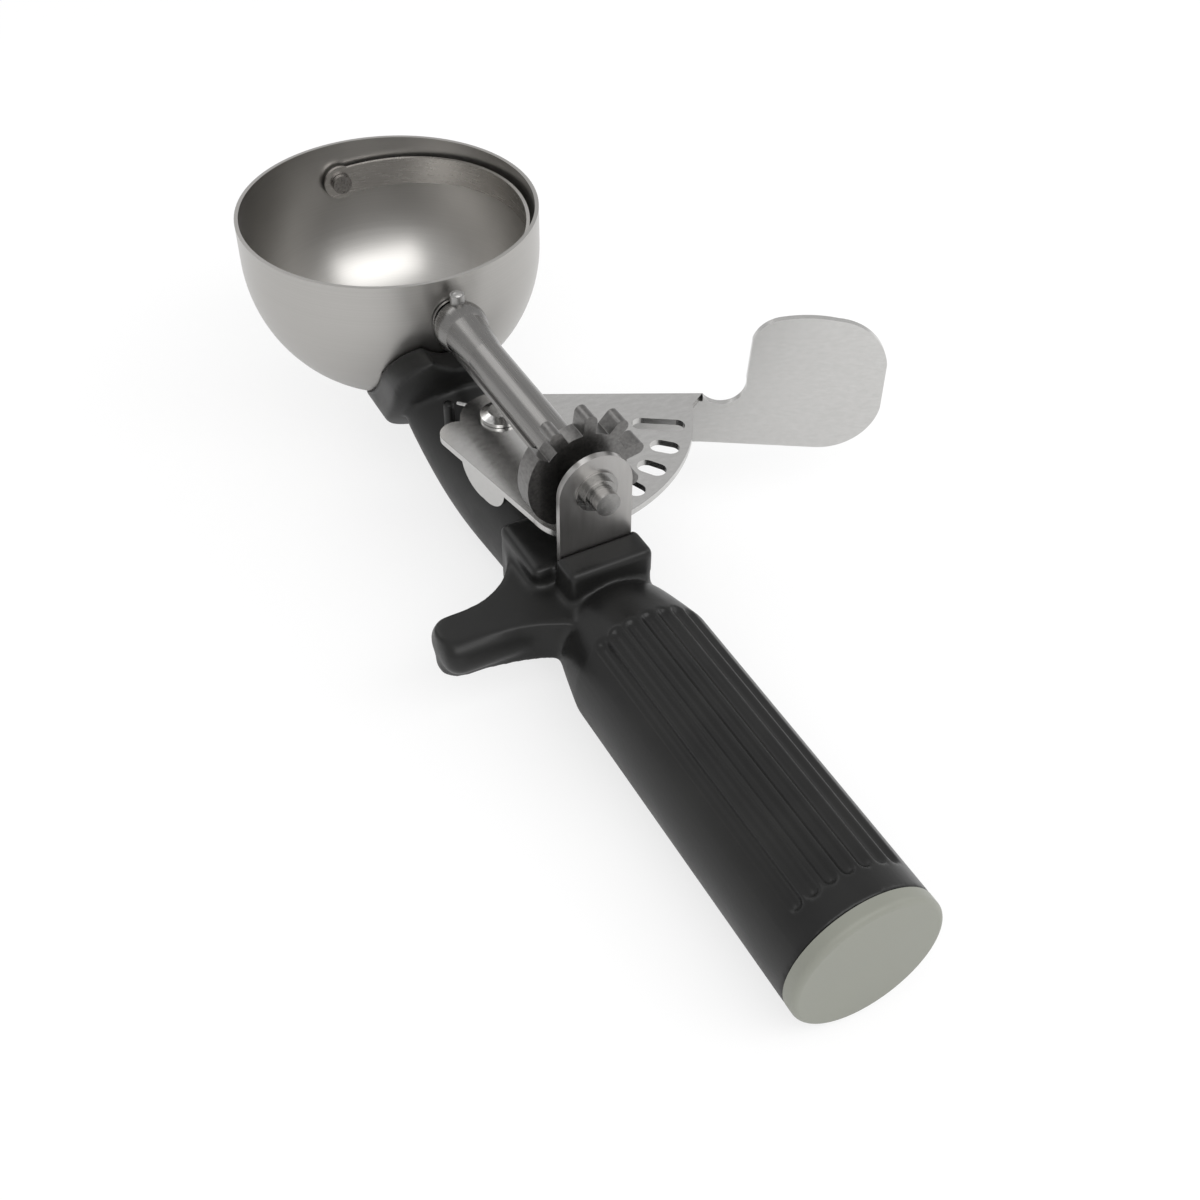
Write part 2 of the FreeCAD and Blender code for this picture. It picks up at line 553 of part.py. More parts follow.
stop_edges = [Part.LineSegment(stop_from + lift, stop_to + lift),
              Part.Arc(stop_to + lift, stop_from * 0.25 + stop_to * 0.75 + lift + down * 0.93,
                       (stop_from + stop_to) * 0.5 + lift + down),
              Part.Arc((stop_from + stop_to) * 0.5 + lift + down, stop_from * 0.8 + stop_to * 0.2 + lift + down * 0.8,
                       stop_from + lift)]
stop = Part.Face(Part.Wire([edge.toShape() for edge in stop_edges])).extrude(inward)
lever = plate.fuse([upright, stop]).removeSplitter()
free_shape("thumb_lever", lever, FreeCAD.Placement(PIVOT, FreeCAD.Rotation()))

# Pivot pin: a headed steel pin, set in the neck, that passes up through the coil and the lever.
neck_top = size["axis_height"] - size["neck_drop"]
pivot_pin = Part.makeCylinder(size["pivot_radius"], plate_top + 0.1 - neck_top + 6, PIVOT + V(0, 0, neck_top - 6))
head = Part.makeCylinder(size["pivot_head"], size["pivot_head_height"] * 0.5, PIVOT + V(0, 0, plate_top + 0.1))
dome = Part.makeCone(size["pivot_head"], size["pivot_head"] * 0.6, size["pivot_head_height"] * 0.5,
                     PIVOT + V(0, 0, plate_top + 0.1 + size["pivot_head_height"] * 0.5))
pivot_pin = pivot_pin.fuse([head, dome])
free_shape("lever_pivot_pin", pivot_pin)
# Return spring: one wound wire round the pivot pin, under the lever's plate. Its upper leg runs
# forward to a post moulded on the neck; its lower end points at the lever's flange.
coil_r = size["coil_radius"]
wire_r = size["wire_radius"]
coil_top = plate_bottom - wire_r - 0.4
coil_low = coil_top - size["coil_pitch"] * size["coil_turns"]
leg_angle = math.radians(43)
climb = size["coil_pitch"] / (2 * math.pi)


def coil_point(angle):
    return PIVOT + V(coil_r * math.cos(angle), coil_r * math.sin(angle), coil_top + climb * (angle - leg_angle))


def coil_direction(angle):
    return V(-coil_r * math.sin(angle), coil_r * math.cos(angle), climb).normalize()


def tangent_arc(start, apex, end):
    """The arc from start to end whose end tangents meet at apex."""
    middle = (start + end) * 0.5
    chord = (end - start).Length / 2
    rise_line = apex - middle
    half_turn = math.atan2(rise_line.Length, chord)
    crown = middle + rise_line.normalize() * (chord * math.tan(half_turn / 2))
    return Part.Arc(start, crown, end).toShape()


def biarc(start, start_way, end, end_way):
    across = end - start
    both = start_way + end_way
    square = 2 * (start_way.dot(end_way) - 1)
    slope = -2 * across.dot(both)
    reach_out = (-slope - math.sqrt(slope ** 2 - 4 * square * across.dot(across))) / (2 * square)
    first = start + start_way * reach_out
    second = end - end_way * reach_out
    joint = (first + second) * 0.5
    return [tangent_arc(start, first, joint), tangent_arc(joint, second, end)]


quarters = int(size["coil_turns"] * 4)
angles = [leg_angle - (quarters - step) * math.pi / 2 for step in range(quarters + 1)]
low_way = coil_direction(angles[0])
low_way = V(low_way.x, low_way.y, 0).normalize()
top_way = coil_direction(angles[-1])
top_way = V(top_way.x, top_way.y, 0).normalize()
ways = [coil_direction(angle) for angle in angles]
ways[0] = low_way
ways[-1] = top_way
points = [coil_point(angle) for angle in angles]
run = []
for step in range(quarters):
    run += biarc(points[step], ways[step], points[step + 1], ways[step + 1])
tail_start = points[0] - low_way * (wire_r * 5)
leg_end = points[-1] + top_way * size["spring_leg"]
run = [Part.LineSegment(tail_start, points[0]).toShape()] + run
run.append(Part.LineSegment(points[-1], leg_end).toShape())
path = Part.Wire(run)
section = Part.Wire([Part.Circle(tail_start, low_way, wire_r).toShape()])
pipe = Part.BRepOffsetAPI.MakePipeShell(path)
pipe.add(section)
pipe.build()
pipe.makeSolid()
spring = pipe.shape()
print("spring volume", round(spring.Volume, 2), "section times length",
      round(math.pi * wire_r ** 2 * path.Length, 2))
samples = [coil_point(angles[0] + turn * math.pi / 24) for turn in range(quarters * 12)]
least = min((a - b).Length for i, a in enumerate(samples) for b in samples[i + 24:])
print("spring least gap to itself", round(least - 2 * wire_r, 2))
free_shape("return_spring", spring)

# Core: a steel bar inside the moulding, welded to the bowl by its curved pad and running into the grip.
bowl_y = size["bowl_centre"]
axis_z = size["axis_height"]
bowl_mid = V(0, bowl_y, axis_z)
core_w = size["core_width"]
core_t = size["core_sheet"]
grip_len = size["grip_length"]
pad_out = Part.makeSphere(size["bowl_radius"] + 1.2, bowl_mid)
pad_in = Part.makeSphere(size["bowl_radius"], bowl_mid)
pad_box = Part.makeBox(core_w * 2, size["bowl_radius"] + 2, 12, V(-core_w, bowl_y - size["bowl_radius"] - 2,
                                                                  size["saddle_bottom"] + 3))
pad = pad_out.cut(pad_in).common(pad_box)
bar_path = [V(0, size["core_start"], 0), V(0, grip_len + 10, 0), V(0, bowl_y - size["lever_setback"], -4),
            V(0, bowl_y - 42, -2), V(0, bowl_y - 26, size["saddle_bottom"] + 7)]
upper = [point + V(0, 0, core_t / 2) for point in bar_path]
lower = [point - V(0, 0, core_t / 2) for point in reversed(bar_path)]
bar = Part.Face(Part.makePolygon(upper + lower + [upper[0]])).extrude(V(core_w, 0, 0))
bar.translate(V(-core_w / 2, 0, 0))
bar = bar.cut(pad_in)
core = pad.fuse(bar).removeSplitter()
core = core.cut(Part.makeCylinder(size["pivot_radius"], 40, PIVOT + V(0, 0, neck_top - 6)))
free_shape("handle_core", core)

# Handle: one black moulding. A fluted grip, a neck that hangs below the mechanism, a saddle
# hugging the bowl, a seat and ledge for the bracket, and a finger rest on the far side of the lever.
grip_r = size["grip_radius"]
cap_h = size["cap_height"]
shoulder_r = size["shoulder_radius"]
shoulder = size["shoulder_length"]
grip_points = [V(0, cap_h, 0), V(grip_r, cap_h, 0), V(grip_r, grip_len - 6, 0)]
grip_edges = [Part.LineSegment(grip_points[0], grip_points[1]), Part.LineSegment(grip_points[1], grip_points[2]),
              Part.Arc(grip_points[2], V(grip_r - 1.1, grip_len - 0.5, 0), V(shoulder_r + 1.4, grip_len + 5, 0)),
              Part.Arc(V(shoulder_r + 1.4, grip_len + 5, 0), V(shoulder_r + 0.2, grip_len + shoulder - 1.5, 0),
                       V(shoulder_r, grip_len + shoulder + 4, 0)),
              Part.LineSegment(V(shoulder_r, grip_len + shoulder + 4, 0), V(0, grip_len + shoulder + 4, 0)),
              Part.LineSegment(V(0, grip_len + shoulder + 4, 0), grip_points[0])]
grip = Part.Face(Part.Wire([edge.toShape() for edge in grip_edges])).revolve(V(0, 0, 0), V(0, 1, 0), 360)
flute_r = size["flute_radius"]
flute_line = grip_r + flute_r * 0.35
flutes = []
count = int(size["flutes"])
for number in range(count):
    turn = math.radians(90 + (number - (count - 1) / 2) * size["flute_pitch"])
    spot = V(flute_line * math.cos(turn), size["flute_start"], flute_line * math.sin(turn))
    length = size["flute_end"] - size["flute_start"]
    flutes.append(Part.makeCylinder(flute_r, length, spot, V(0, 1, 0)))
    flutes.append(Part.makeSphere(flute_r, spot))
    flutes.append(Part.makeSphere(flute_r, spot + V(0, length, 0)))

neck_w = size["neck_half_width"]
neck_b = size["neck_bottom"]


def neck_ring(y, half_width, low_z, high_z):
    """An upright oval across the neck."""
    height = (high_z - low_z) / 2
    middle = V(0, y, (high_z + low_z) / 2)
    if height >= half_width:
        oval = Part.Ellipse(middle + V(0, 0, height), middle + V(half_width, 0, 0), middle)
    else:
        oval = Part.Ellipse(middle + V(half_width, 0, 0), middle + V(0, 0, height), middle)
    shape = oval.toShape()
    return Part.Wire([shape])


rings = [
    neck_ring(grip_len + 6, shoulder_r - 0.5, -neck_b + 4.6, neck_top + 1.4),
    neck_ring(grip_len + 24, neck_w + 0.3, -neck_b + 3.2, neck_top + 0.4),
    neck_ring(bowl_y - 74, neck_w, -neck_b + 2.0, neck_top),
    neck_ring(bowl_y - 57, neck_w + 0.2, -neck_b, neck_top + 0.2),
    neck_ring(bowl_y - 44, neck_w + 1.0, -neck_b + 2.4, neck_top + 4),
    neck_ring(bowl_y - 33, neck_w + 2.5, -neck_b + 12, neck_top + 9),
]
neck = Part.makeLoft(rings, True, False)
saddle_r = size["bowl_radius"] + size["saddle_thickness"]
saddle_w = size["saddle_half_width"]
column = Part.makeBox(saddle_w * 2, 40, size["saddle_top"] - size["saddle_bottom"],
                      V(-saddle_w, bowl_y - 50, size["saddle_bottom"]))
corners = [edge for edge in column.Edges if abs(edge.tangentAt(edge.FirstParameter).y) > 0.9]
column = column.makeFillet(7.5, corners)
saddle = Part.makeSphere(saddle_r, bowl_mid).common(column)
seat_top = axis_z - size["seat_drop"]
ledge_top = axis_z - size["ledge_drop"]
bracket_y = bowl_y - size["bracket_setback"]
seat = Part.makeBox(21.6, 17.0, seat_top + 12, V(-13, bracket_y, -12))
ledge = Part.makeBox(18.6, 8.0, ledge_top + 12, V(-8.8, bracket_y - 8.0, -12))
seat = seat.makeFillet(1.6, [edge for edge in seat.Edges if edge.BoundBox.ZMax > -5])
ledge = ledge.makeFillet(1.6, [edge for edge in ledge.Edges if edge.BoundBox.ZMax > -5])
lug_t = size["rest_thickness"]
lug = Part.makeBox(size["rest_reach"] - 4, 12.0, lug_t, V(-size["rest_reach"], bracket_y - 9, 0.5))
lug = lug.makeFillet(lug_t * 0.42, [edge for edge in lug.Edges if edge.BoundBox.XMin < -size["rest_reach"] + 1
                                    or abs(edge.tangentAt(edge.FirstParameter).x) > 0.9])
post = Part.makeCylinder(1.4, plate_bottom - 0.4 - 8, V(leg_end.x - 1.9, leg_end.y + 0.6, 8))
body = grip.fuse([neck, saddle, seat, ledge, lug, post])
tools = flutes + [Part.makeSphere(size["bowl_radius"], bowl_mid)]
recess = Part.makeCylinder(size["saddle_recess"], 40, bowl_mid - V(0, 24, 0), V(0, -1, 0))
foot_slot = Part.makeBox(size["bracket_width"], size["bracket_sheet"], size["bracket_foot"],
                         V(-size["bracket_width"] / 2, bracket_y - size["bracket_sheet"],
                          axis_z - size["bracket_foot"]))
plug_bore = Part.makeCylinder(size["plug_radius"], size["plug_length"] + 1, V(0, cap_h, 0), V(0, 1, 0))
tools += [recess, foot_slot, plug_bore, core, pivot_pin]
body = body.cut(tools)
free_shape("handle", max(body.Solids, key=lambda part: part.Volume))

# End cap: a grey disc with a rounded edge whose hollow plug is pressed into the grip.
cap = doc.addObject("PartDesign::Body", "cap_body")
cap_sketch = new_sketch(cap, "cap_sketch", "XY_Plane")
cap_sketch.addGeometry([Part.Circle(V(0, 0, 0), V(0, 0, 1), grip_r)], False)
cap_sketch.addConstraint(Sketcher.Constraint("Coincident", 0, 3, -1, 1))
add_size(cap_sketch, "edge", "grip_radius", "Radius", 0, grip_r)
cap_pad = cap.newObject("PartDesign::Pad", "cap_pad")
cap_pad.Profile = cap_sketch
cap_pad.setExpression("Length", formula("cap_height"))
doc.recompute()
rim_edges = ["Edge%d" % (i + 1) for i, edge in enumerate(cap_pad.Shape.Edges) if edge.BoundBox.ZMax < 0.01
             and edge.Curve.TypeId == "Part::GeomCircle"]
cap_round = cap.newObject("PartDesign::Fillet", "cap_round")
cap_round.Base = (cap_pad, rim_edges)
cap_round.setExpression("Radius", formula("cap_edge"))
plug_sketch = new_sketch(cap, "plug_sketch", "XY_Plane")
plug_sketch.addGeometry([Part.Circle(V(0, 0, 0), V(0, 0, 1), size["plug_radius"]),
                         Part.Circle(V(0, 0, 0), V(0, 0, 1), size["plug_radius"] - 2)], False)
plug_sketch.addConstraint(Sketcher.Constraint("Coincident", 0, 3, -1, 1))
plug_sketch.addConstraint(Sketcher.Constraint("Coincident", 1, 3, -1, 1))
add_size(plug_sketch, "outside", "plug_radius", "Radius", 0, size["plug_radius"])
add_size(plug_sketch, "inside", "plug_radius - 2", "Radius", 1, size["plug_radius"] - 2)
plug_sketch.setExpression("AttachmentOffset.Base.z", formula("cap_height - 1"))
plug = cap.newObject("PartDesign::Pad", "plug_pad")
plug.Profile = plug_sketch
plug.setExpression("Length", formula("plug_length + 1"))
cap.Placement = FreeCAD.Placement(V(0, 0, 0), TURN_TO["+Y"])
piece(cap, "end_cap")

doc.recompute()
for item in doc.Objects:
    if "Invalid" in item.State or "Error" in item.State:
        raise RuntimeError(item.Name + " failed")
for item in pieces:
    if item.Shape.isNull() or not item.Shape.isValid():
        raise RuntimeError(item.Label + " has no valid shape")
for item in pieces:
    item.Shape.exportStep("parts/%s.step" % item.Label)
    print(item.Label, len(item.Shape.Solids), round(item.Shape.Volume, 1))
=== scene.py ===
import bmesh
import bpy
import math
from mathutils import Matrix, Vector


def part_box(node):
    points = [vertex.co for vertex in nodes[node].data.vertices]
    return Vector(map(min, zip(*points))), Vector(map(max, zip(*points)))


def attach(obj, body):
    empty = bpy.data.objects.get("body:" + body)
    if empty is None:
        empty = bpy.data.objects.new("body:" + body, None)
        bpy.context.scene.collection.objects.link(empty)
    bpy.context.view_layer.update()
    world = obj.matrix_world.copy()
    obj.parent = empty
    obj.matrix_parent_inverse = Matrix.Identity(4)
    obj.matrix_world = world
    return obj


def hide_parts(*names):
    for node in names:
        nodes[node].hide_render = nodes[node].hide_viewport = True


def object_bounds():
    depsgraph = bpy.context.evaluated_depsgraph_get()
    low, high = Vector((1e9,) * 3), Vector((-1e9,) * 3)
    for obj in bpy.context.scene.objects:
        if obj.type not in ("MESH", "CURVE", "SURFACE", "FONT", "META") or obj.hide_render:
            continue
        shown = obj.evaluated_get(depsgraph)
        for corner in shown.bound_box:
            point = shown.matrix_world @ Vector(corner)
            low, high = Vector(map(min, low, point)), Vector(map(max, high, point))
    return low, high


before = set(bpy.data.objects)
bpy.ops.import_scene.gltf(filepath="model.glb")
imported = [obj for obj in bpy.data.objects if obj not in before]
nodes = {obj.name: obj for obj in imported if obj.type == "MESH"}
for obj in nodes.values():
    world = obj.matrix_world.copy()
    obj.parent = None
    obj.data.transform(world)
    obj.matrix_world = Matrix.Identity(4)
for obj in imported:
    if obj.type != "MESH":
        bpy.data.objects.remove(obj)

cad_low, cad_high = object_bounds()

# Bowl: one stainless sheet spun over a former, about 0.9 mm thick, with a plain trimmed rim. The
# spinning tool leaves fine rings about the bowl's own axis. It is welded to the handle's core.
rings_per_metre = 3600.0
bowl_low, bowl_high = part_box("bowl")
bowl_axis = (bowl_low + bowl_high) / 2

# Marks on every metal piece: long streaks from working the sheet, and faint smudges from use. The
# group gives only values over the surface, and each piece's material decides what they do.
smudges_per_metre = 90.0
smudge_share = 0.35
streak_depth = 0.00002
least_rough, most_rough = 0.92, 1.1
marks = bpy.data.node_groups.new("metal_marks", "ShaderNodeTree")
for mark in ("Streaks", "Smudge", "Height"):
    marks.interface.new_socket(mark, in_out="OUTPUT", socket_type="NodeSocketFloat")
marks.interface.new_socket("Place", in_out="INPUT", socket_type="NodeSocketVector")
marks_in = marks.nodes.new("NodeGroupInput")
marks_out = marks.nodes.new("NodeGroupOutput")
streak = marks.nodes.new("ShaderNodeTexNoise")
streak.inputs["Scale"].default_value = 1.0
streak.inputs["Detail"].default_value = 6.0
streak.inputs["Roughness"].default_value = 0.6
smudge = marks.nodes.new("ShaderNodeTexNoise")
smudge.inputs["Scale"].default_value = smudges_per_metre
smudge.inputs["Detail"].default_value = 5.0
surface = marks.nodes.new("ShaderNodeTexCoord")
marks.links.new(marks_in.outputs["Place"], streak.inputs["Vector"])
marks.links.new(surface.outputs["Object"], smudge.inputs["Vector"])
marks.links.new(streak.outputs["Fac"], marks_out.inputs["Streaks"])
marks.links.new(smudge.outputs["Fac"], marks_out.inputs["Smudge"])
marks.links.new(streak.outputs["Fac"], marks_out.inputs["Height"])


def along(stretch):
    """Places in metres, stretched so that the streaks run along the axis with the least number."""
    def build(tree):
        coord = tree.nodes.new("ShaderNodeTexCoord")
        mapping = tree.nodes.new("ShaderNodeMapping")
        mapping.inputs["Scale"].default_value = stretch
        tree.links.new(coord.outputs["Object"], mapping.inputs["Vector"])
        return mapping.outputs["Vector"]
    return build


def rings(tree):
    """Places as distance from the bowl's axis and height, so that the streaks run round it."""
    coord = tree.nodes.new("ShaderNodeTexCoord")
    shift = tree.nodes.new("ShaderNodeVectorMath")
    shift.operation = "SUBTRACT"
    shift.inputs[1].default_value = (bowl_axis.x, bowl_axis.y, 0)
    tree.links.new(coord.outputs["Object"], shift.inputs[0])
    parts = tree.nodes.new("ShaderNodeSeparateXYZ")
    tree.links.new(shift.outputs["Vector"], parts.inputs["Vector"])
    flat = tree.nodes.new("ShaderNodeCombineXYZ")
    tree.links.new(parts.outputs["X"], flat.inputs["X"])
    tree.links.new(parts.outputs["Y"], flat.inputs["Y"])
    radius = tree.nodes.new("ShaderNodeVectorMath")
    radius.operation = "LENGTH"
    tree.links.new(flat.outputs["Vector"], radius.inputs[0])
    both = tree.nodes.new("ShaderNodeCombineXYZ")
    tree.links.new(radius.outputs["Value"], both.inputs["X"])
    tree.links.new(parts.outputs["Z"], both.inputs["Y"])
    fine = tree.nodes.new("ShaderNodeVectorMath")
    fine.operation = "SCALE"
    fine.inputs["Scale"].default_value = rings_per_metre
    tree.links.new(both.outputs["Vector"], fine.inputs[0])
    return fine.outputs["Vector"]


def value_range(tree, source, low, high, from_low=0.3, from_high=0.7):
    ramp = tree.nodes.new("ShaderNodeMapRange")
    ramp.inputs["From Min"].default_value = from_low
    ramp.inputs["From Max"].default_value = from_high
    ramp.inputs["To Min"].default_value = low
    ramp.inputs["To Max"].default_value = high
    tree.links.new(source, ramp.inputs["Value"])
    return ramp.outputs["Result"]


def colour_range(tree, source, low, high):
    mix = tree.nodes.new("ShaderNodeMix")
    mix.data_type = "RGBA"
    mix.inputs["A"].default_value = (*low, 1)
    mix.inputs["B"].default_value = (*high, 1)
    tree.links.new(value_range(tree, source, 0, 1), mix.inputs["Factor"])
    return mix.outputs["Result"]


def bumped(tree, source, strength, depth, shader):
    """Relief of the given depth in metres."""
    relief = tree.nodes.new("ShaderNodeBump")
    relief.inputs["Strength"].default_value = strength
    relief.inputs["Distance"].default_value = depth
    tree.links.new(source, relief.inputs["Height"])
    tree.links.new(relief.outputs["Normal"], shader.inputs["Normal"])


def steel(name, dark, light, rough, places, relief=0.2):
    """Worked steel: its colour, its roughness and a shallow relief follow the streaks."""
    material = bpy.data.materials.new(name)
    material.use_nodes = True
    tree = material.node_tree
    shader = tree.nodes["Principled BSDF"]
    shader.inputs["Metallic"].default_value = 1.0
    group = tree.nodes.new("ShaderNodeGroup")
    group.node_tree = marks
    tree.links.new(places(tree), group.inputs["Place"])
    tree.links.new(colour_range(tree, group.outputs["Streaks"], dark, light), shader.inputs["Base Color"])
    worn = tree.nodes.new("ShaderNodeMath")
    worn.operation = "MULTIPLY_ADD"
    worn.inputs[1].default_value = smudge_share
    tree.links.new(group.outputs["Smudge"], worn.inputs[0])
    tree.links.new(group.outputs["Streaks"], worn.inputs[2])
    gloss = value_range(tree, worn.outputs[0], rough * least_rough, rough * most_rough, 0.45, 0.9)
    tree.links.new(gloss, shader.inputs["Roughness"])
    bumped(tree, group.outputs["Height"], relief, streak_depth, shader)
    return material


def wears(node, material):
    nodes[node].data.materials[0] = material


wears("bowl", steel("spun_steel", (0.39, 0.38, 0.365), (0.425, 0.415, 0.4), 0.33, rings, relief=0.04))

# Scraper blade: a half hoop of spring steel, 7 mm wide, with a flat eye at each end. It is riveted
# over the rod's end, and rubbing against the bowl keeps it smooth.
wears("scraper_blade", steel("blade_steel", (0.41, 0.395, 0.375), (0.5, 0.485, 0.465), 0.26,
                             along((300, 300, 2600)), relief=0.03))

# Blade rivet and washer: turned steel, duller than the sheet. The rivet is headed over in the
# bowl's wall and carries the blade's far eye, and the washer keeps the eye off the wall.
rivet_steel = steel("rivet_steel", (0.2, 0.19, 0.185), (0.36, 0.345, 0.33), 0.28,
                    along((1500, 1500, 1500)), relief=0.3)
wears("blade_pivot_rivet", rivet_steel)
wears("blade_pivot_washer", rivet_steel)

# Ejector tube: drawn sheet with a folded seam, whose marks run along it, swollen at the bowl's end
# and pinned there to the rod.
wears("ejector_tube", steel("drawn_tube", (0.19, 0.186, 0.182), (0.225, 0.22, 0.213), 0.26,
                            along((2600, 60, 2600)), relief=0.02))
wears("knuckle_cross_pin", steel("pin_steel", (0.3, 0.295, 0.29), (0.38, 0.375, 0.365), 0.36,
                                 along((900, 900, 2500)), relief=0.04))

# Ejector rod and its bushes: turned steel with faint tool marks round it. The rod turns in a bush
# pressed into the bowl and a stepped one in the rear bracket.
turned_steel = steel("machined_steel", (0.26, 0.255, 0.25), (0.36, 0.355, 0.345), 0.22,
                     along((600, 3000, 600)), relief=0.06)
for turned_piece in ("ejector_rod", "front_bush", "rear_bush"):
    wears(turned_piece, turned_steel)

# Collar: a ring of bright sheet, crimped over the tube's rear end, that holds it against the
# pinion.
wears("pinion_collar", steel("collar_steel", (0.36, 0.35, 0.34), (0.46, 0.45, 0.44), 0.24,
                             along((900, 3000, 900)), relief=0.08))

# Pinion: a pressed steel wheel on the rod, darker and duller than the sheet around it. Seven slim
# fingers with round ends stand on its hub where it meshes, and the rest of its edge is plain.
MM = 0.001
pinion_low, pinion_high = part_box("pinion")
bowl_middle = Vector((0, 0.2, 0.031))
hub_radius = 9.6 * MM
plain_radius = 12.2 * MM
plain_start, plain_end = 142, 238
finger_half = 1.4 * MM
finger_tip = 13.59 * MM
finger_first, finger_pitch = -97.5, 36
finger_count = 7
bore_radius = 2.6 * MM
edge_chamfer = 0.35 * MM
outline_steps_per_degree = 2


def linked(name, mesh):
    """A new piece with this mesh, put in the scene."""
    piece = bpy.data.objects.new(name, mesh)
    bpy.context.scene.collection.objects.link(piece)
    return piece


def extruded(name, outline, low, high):
    """A closed solid between two levels, from an outline of (x, y) points."""
    mesh = bpy.data.meshes.new(name)
    count = len(outline)
    points = [(x, y, low) for x, y in outline] + [(x, y, high) for x, y in outline]
    faces = [list(range(count))[::-1], list(range(count, 2 * count))]
    faces += [[i, (i + 1) % count, count + (i + 1) % count, count + i] for i in range(count)]
    mesh.from_pydata(points, [], faces)
    return linked(name, mesh)


def arc(centre, radius, start, end, steps=10):
    angles = [math.radians(start + (end - start) * i / steps) for i in range(steps + 1)]
    return [(centre[0] + radius * math.cos(a), centre[1] + radius * math.sin(a)) for a in angles]


def bake(piece):
    """Replace the piece's mesh by its mesh with modifiers applied."""
    graph = bpy.context.evaluated_depsgraph_get()
    mesh = bpy.data.meshes.new_from_object(piece.evaluated_get(graph))
    piece.modifiers.clear()
    piece.data = mesh


def combine(piece, tool, how):
    step = piece.modifiers.new(how, "BOOLEAN")
    step.operation = how
    step.solver = "EXACT"
    step.object = tool
    bake(piece)


def edge_radius(turn):
    """How far the wheel's edge stands from its axis, for an angle from +X towards +Z."""
    if plain_start <= turn % 360 <= plain_end:
        return plain_radius
    reach = hub_radius
    end = finger_tip - finger_half
    for number in range(finger_count):
        off = math.radians((turn - (finger_first + finger_pitch * number) + 180) % 360 - 180)
        if abs(off) > math.pi / 4:
            continue
        aside = end * math.sin(off)
        if abs(aside) <= finger_half:
            reach = max(reach, end * math.cos(off) + math.sqrt(finger_half ** 2 - aside ** 2))
        else:
            reach = max(reach, finger_half / abs(math.sin(off)))
    return reach


wheel_outline = []
for step in range(360 * outline_steps_per_degree):
    turn = step / outline_steps_per_degree
    radius = edge_radius(turn)
    wheel_outline.append((radius * math.cos(math.radians(turn)), radius * math.sin(math.radians(turn))))
wheel = extruded("pinion_wheel", wheel_outline, -pinion_high.y, -pinion_low.y)
bore = extruded("pinion_bore", arc((0, 0), bore_radius, 0, 355, 71), -pinion_high.y - MM, -pinion_low.y + MM)
combine(wheel, bore, "DIFFERENCE")
bpy.data.objects.remove(bore)
wheel.data.transform(Matrix.Translation((0, 0, bowl_middle.z)) @ Matrix.Rotation(math.radians(90), 4, "X"))
chamfer = wheel.modifiers.new("edge", "BEVEL")
chamfer.width = edge_chamfer
chamfer.segments = 2
chamfer.limit_method = "ANGLE"
chamfer.angle_limit = math.radians(50)
bake(wheel)
wheel.data.materials.clear()
wheel.data.materials.append(steel("pinion_steel", (0.12, 0.118, 0.115), (0.2, 0.195, 0.19), 0.33,
                                  along((1400, 900, 1400)), relief=0.12))
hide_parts("pinion")
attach(wheel, "ejector")

# Rear bracket: an arch of sheet steel, brushed upright, whose foot is set in the handle. Its eye
# holds the rod's rear bush.
wears("rear_bracket", steel("bracket_steel", (0.39, 0.38, 0.37), (0.43, 0.42, 0.41), 0.3,
                            along((900, 300, 120)), relief=0.002))

# Thumb lever: one stamping, its slotted plate, flange and paddle polished bright after it was
# folded, with faint scratches. It turns on a headed pin set in the neck.
wears("thumb_lever", steel("polished_sheet", (0.49, 0.485, 0.475), (0.55, 0.545, 0.535), 0.24,
                           along((500, 900, 1600)), relief=0.03))
wears("lever_pivot_pin", steel("pivot_steel", (0.5, 0.5, 0.49), (0.72, 0.71, 0.7), 0.2,
                               along((1200, 1200, 1200))))

# Return spring: drawn wire wound round the pivot pin under the lever's plate, which it pushes back
# to rest. One leg bears on a post moulded on the neck.
wears("return_spring", steel("spring_wire", (0.3, 0.3, 0.3), (0.55, 0.54, 0.53), 0.25,
                             along((1500, 1500, 3000))))

# Core: a steel bar inside the moulding, left dull from the mill. It is welded to the bowl by its
# curved pad and runs into the grip.
wears("handle_core", steel("core_steel", (0.2, 0.2, 0.2), (0.3, 0.3, 0.3), 0.45, along((800, 300, 800))))

# Handle: one black plastic moulding over the steel core, shiny on its plain faces. Soft corners
# blend the finger rest into the seat and the grip. The saddle that hugs the bowl has rounded
# lobes, and its right one is shorter, where the tube runs past.
saddle_left, saddle_right = -15.8 * MM, 12.6 * MM
saddle_low, saddle_high = -4.4 * MM, 25.0 * MM
saddle_corner = 10.5 * MM
saddle_start = 158 * MM
saddle_sheet = 7.5 * MM
lead = 0.01
trim_low = 3.4 * MM
trim_half_width = 0.05
bowl_outside = (bowl_high.x - bowl_low.x) / 2
recess_radius = 9.6 * MM
recess_depth = 0.024


def round_bar(name, x, z, corner, low_y, high_y):
    """A bar along Y with rounded corners; its outline is drawn in XZ."""
    centres = [(x[1] - corner, z[1] - corner), (x[0] + corner, z[1] - corner),
               (x[0] + corner, z[0] + corner), (x[1] - corner, z[0] + corner)]
    outline = []
    for number, centre in enumerate(centres):
        outline += arc(centre, corner, 90 * number, 90 * number + 90)
    piece = extruded(name, outline, -high_y, -low_y)
    piece.data.transform(Matrix.Rotation(math.radians(90), 4, "X"))
    return piece


def ball(name, radius, place, around, upward, stretch=0.0):
    """A ball, or a round-ended bar when its upper half is moved up by the stretch."""
    mesh = bpy.data.meshes.new(name)
    form = bmesh.new()
    bmesh.ops.create_uvsphere(form, u_segments=around, v_segments=upward, radius=radius)
    for point in form.verts:
        point.co.z += stretch if point.co.z > 1e-7 else 0
    form.to_mesh(mesh)
    form.free()
    mesh.transform(place)
    return linked(name, mesh)


